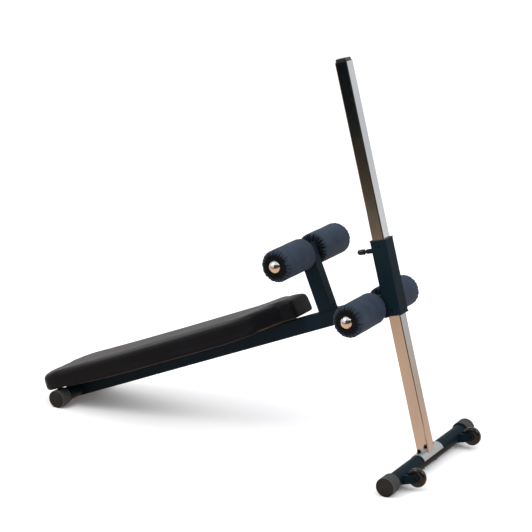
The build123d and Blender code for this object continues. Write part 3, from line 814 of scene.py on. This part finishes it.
def crease_seams(cad):
    """The seam up each side of the pad, in the crease where the tongue starts."""
    high = cad.max(0)
    tongue = cad[cad[:, 0] > high[0] - TONGUE_END][:, 1].max()
    crease = cad[cad[:, 1] > tongue + TONGUE_MARGIN][:, 0].max()
    tree = BVHTree.FromPolygons([PAD_FRAME.inverted() @ vertex.co for vertex in pad.data.vertices],
                                [polygon.vertices[:] for polygon in pad.data.polygons])
    heights = np.arange(cad[:, 2].min() + CREASE_FROM, high[2] - SEAM_DROP, CREASE_STEP)
    parts = []
    for _, side in SIDES:
        starts = [Vector((crease, side * 2 * tongue, height)) for height in heights]
        hits = [tree.ray_cast(start, Vector((0, -side, 0)))[0] for start in starts]
        path = [hit for hit in hits if hit is not None]
        parts.append(bead_mesh(path, [SEAM_R] * len(path), AHEAD, False))
    return parts


def add_joined(name, parts, matrix, body, slot):
    """One piece of many small meshes, given in a local frame."""
    vertices, faces = [], []
    for part_vertices, part_faces in parts:
        start = len(vertices)
        vertices += [matrix @ Vector(vertex) for vertex in part_vertices]
        faces += [tuple(start + index for index in face) for face in part_faces]
    add_piece(name, vertices, faces, body, slot)


def rectangle_path(low, high):
    """Points round a rectangle with rounded corners, from its two opposite corners."""
    left, right = low[0] + WELD_CORNER, high[0] - WELD_CORNER
    bottom, top = low[1] + WELD_CORNER, high[1] - WELD_CORNER
    path = []
    for quarter, (x, y) in enumerate([(right, top), (left, top), (left, bottom), (right, bottom)]):
        for k in range(CORNER_STEPS + 1):
            angle = math.pi / 2 * (quarter + k / CORNER_STEPS)
            path.append((x + WELD_CORNER * math.cos(angle), y + WELD_CORNER * math.sin(angle)))
    return path


def weld(name, path, guide, matrix, body, slot, seed):
    """A rippled weld bead along a closed path in a local frame."""
    points = resampled(path, WELD_STEP)
    radii = []
    for k, point in enumerate(points):
        ripple = RIPPLE_DEPTH * math.sin(2 * math.pi * k * WELD_STEP / RIPPLE)
        uneven = WELD_NOISE * wobble(*(point * WELD_NOISE_SCALE), seed)
        radii.append(WELD_R * (1 + ripple + uneven))
    mesh = bead_mesh(points, radii, guide, True)
    add_joined(name, [mesh], matrix, body, slot)


def arm_weld():
    """Round the arm's foot, on the beam."""
    arm = node_points("arm", PAD_FRAME)
    foot = arm[arm[:, 2] < arm[:, 2].min() + JOINT_BAND]
    low, high = foot.min(0), foot.max(0)
    path = [(x, y, low[2] + WELD_LIFT) for x, y in rectangle_path(low[:2], high[:2])]
    weld("arm_weld", path, UP, PAD_FRAME, "carriage", "frame_paint", 41)


def beam_weld():
    """Round the beam's high end, on the sleeve's face."""
    face = node_points("sleeve", POST_FRAME)[:, 0].min()
    beam = node_points("beam", POST_FRAME)
    end = beam[beam[:, 0] > face - JOINT_BAND]
    ring = rectangle_path(end.min(0)[1:], end.max(0)[1:])
    path = [(face - WELD_LIFT, y, z) for y, z in ring]
    weld("beam_weld", path, AHEAD, POST_FRAME, "carriage", "frame_paint", 42)


def post_weld():
    """Round the post's foot, on the curved saddle plate."""
    saddle = node_points("saddle_plate", POST_FRAME)
    radius = np.hypot(saddle[:, 0], saddle[:, 2]).max()
    post = node_points("post", POST_FRAME)
    ring = rectangle_path(post.min(0)[:2], post.max(0)[:2])
    path = [(x, y, math.sqrt(radius ** 2 - x ** 2) + SADDLE_LIFT) for x, y in ring]
    weld("post_weld", path, UP, POST_FRAME, "stand", "saddle_chrome", 43)


def add_spring():
    """The pull pin's spring, a copy of its CAD coil that rides on the carriage."""
    spring = bpy.data.objects.new("spring_coil", nodes["pin_spring"].data.copy())
    scene.collection.objects.link(spring)
    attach(spring, "carriage")
    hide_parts("pin_spring")
    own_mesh(spring)


pad_seams()
arm_weld()
beam_weld()
post_weld()
add_spring()


# ---- floor, reflections and light ----------------------------------------------------------
FLOOR_SIZE = 120.0
WARM_FLOOR_SIZE = 60.0
WALL_SIZE = 14.0
SUN_POWER = 1.3
SUN_ANGLE = math.radians(120)
WORLD_COLOUR = (0.95, 0.97, 1.0, 1)
WORLD_STRENGTH = 0.85
WARM_REACH = 8.0          # the stops' y goes from minus this to this
# The glow of the tan floor at each y, from behind the camera to behind the bench.
WARM_STOPS = [(-6.6, (0.005, 0.007, 0.009)), (-5.4, (0.021, 0.022, 0.020)),
              (-4.6, (0.058, 0.046, 0.030)), (-3.8, (0.085, 0.062, 0.044)),
              (-3.2, (0.17, 0.135, 0.095)), (-2.9, (0.28, 0.19, 0.12)),
              (-1.7, (0.70, 0.46, 0.31)), (0.0, (0.86, 0.58, 0.42)),
              (3.0, (0.66, 0.52, 0.42)), (6.0, (0.62, 0.60, 0.58))]


def stage_plane(name, size, height):
    """A level square stage piece, round the z axis."""
    mesh = bpy.data.meshes.new(name)
    half = size / 2
    corners = [(-half, -half, height), (half, -half, height), (half, half, height),
               (-half, half, height)]
    mesh.from_pydata(corners, [], [(0, 1, 2, 3)])
    plane = bpy.data.objects.new(name, mesh)
    scene.collection.objects.link(plane)
    return plane


def glossy_only(plane):
    """Leaves a stage piece to reflections alone."""
    plane.visible_camera = False
    plane.visible_diffuse = False
    plane.visible_shadow = False
    plane.visible_transmission = False


def add_floor():
    """A plain pale floor."""
    floor = stage_plane("floor", FLOOR_SIZE, 0.0)
    shader = Shader("pale_floor", Specular_IOR_Level=0.1)
    tone = shader.noise(0.8, 3)
    colour = shader.ramp(tone, [(0.3, (0.90, 0.90, 0.90)), (0.7, (0.93, 0.93, 0.93))])
    floor.data.materials.append(shader.finish(colour, 0.9))


def add_warm_floor():
    """A tan floor that darkens towards the camera, and that only glossy surfaces reflect."""
    plane = stage_plane("warm_floor", WARM_FLOOR_SIZE, 1 * MM)
    glossy_only(plane)
    material = bpy.data.materials.new("warm_floor")
    material.use_nodes = True
    tree = material.node_tree
    tree.nodes.clear()
    place = tree.nodes.new("ShaderNodeNewGeometry")
    split = tree.nodes.new("ShaderNodeSeparateXYZ")
    spread = tree.nodes.new("ShaderNodeMapRange")
    ramp = tree.nodes.new("ShaderNodeValToRGB")
    glow = tree.nodes.new("ShaderNodeEmission")
    out = tree.nodes.new("ShaderNodeOutputMaterial")
    spread.inputs["From Min"].default_value = -WARM_REACH
    spread.inputs["From Max"].default_value = WARM_REACH
    set_stops(ramp, [((y + WARM_REACH) / (2 * WARM_REACH), colour) for y, colour in WARM_STOPS])
    tree.links.new(place.outputs["Position"], split.inputs[0])
    tree.links.new(split.outputs["Y"], spread.inputs["Value"])
    tree.links.new(spread.outputs["Result"], ramp.inputs["Fac"])
    tree.links.new(ramp.outputs["Color"], glow.inputs["Color"])
    tree.links.new(glow.outputs[0], out.inputs["Surface"])
    plane.data.materials.append(material)


def add_dim_wall(name, place, turn):
    """A dim upright wall out of view, which only glossy surfaces reflect."""
    wall = stage_plane(name, WALL_SIZE, 0.0)
    glossy_only(wall)
    wall.location = place
    wall.rotation_euler = (math.pi / 2, 0, math.radians(turn))
    shader = Shader(name, Specular_IOR_Level=0.0)
    patches = shader.noise(0.45, 2)
    colour = shader.ramp(patches, [(0.35, (0.02, 0.02, 0.022)), (0.65, (0.09, 0.08, 0.07))])
    wall.data.materials.append(shader.finish(colour, 0.9))


def add_light(name, place, aim, size, power):
    """A soft rectangular light, in watts, that looks at a point."""
    data = bpy.data.lights.new(name, "AREA")
    data.shape = "RECTANGLE"
    data.size, data.size_y = size
    data.energy = power
    lamp = bpy.data.objects.new(name, data)
    scene.collection.objects.link(lamp)
    lamp.location = place
    lamp.rotation_euler = (Vector(aim) - Vector(place)).to_track_quat("-Z", "Y").to_euler()


def add_soft_sun():
    """Overhead light from a wide sky. No glossy surface reflects it."""
    data = bpy.data.lights.new("soft_sun", "SUN")
    data.energy = SUN_POWER
    data.angle = SUN_ANGLE
    lamp = bpy.data.objects.new("soft_sun", data)
    scene.collection.objects.link(lamp)
    lamp.visible_glossy = False


def add_world():
    """An even, slightly cool studio."""
    world = bpy.data.worlds.new("studio")
    scene.world = world
    world.use_nodes = True
    back = world.node_tree.nodes["Background"]
    back.inputs["Color"].default_value = WORLD_COLOUR
    back.inputs["Strength"].default_value = WORLD_STRENGTH


add_floor()
add_soft_sun()
add_warm_floor()
add_dim_wall("wall_behind_camera", (5.2, -8.6, 3.0), 31)
add_dim_wall("wall_behind_post", (11.0, -2.0, 3.0), 90)
add_world()
add_light("key_light", (-2.0, -3.0, 4.5), (0, 0, 0.5), (2.5, 2.0), 120)
add_light("fill_light", (4.0, 1.0, 3.5), (0.5, 0, 0.7), (2.0, 2.0), 60)
scene.view_settings.view_transform = "Standard"
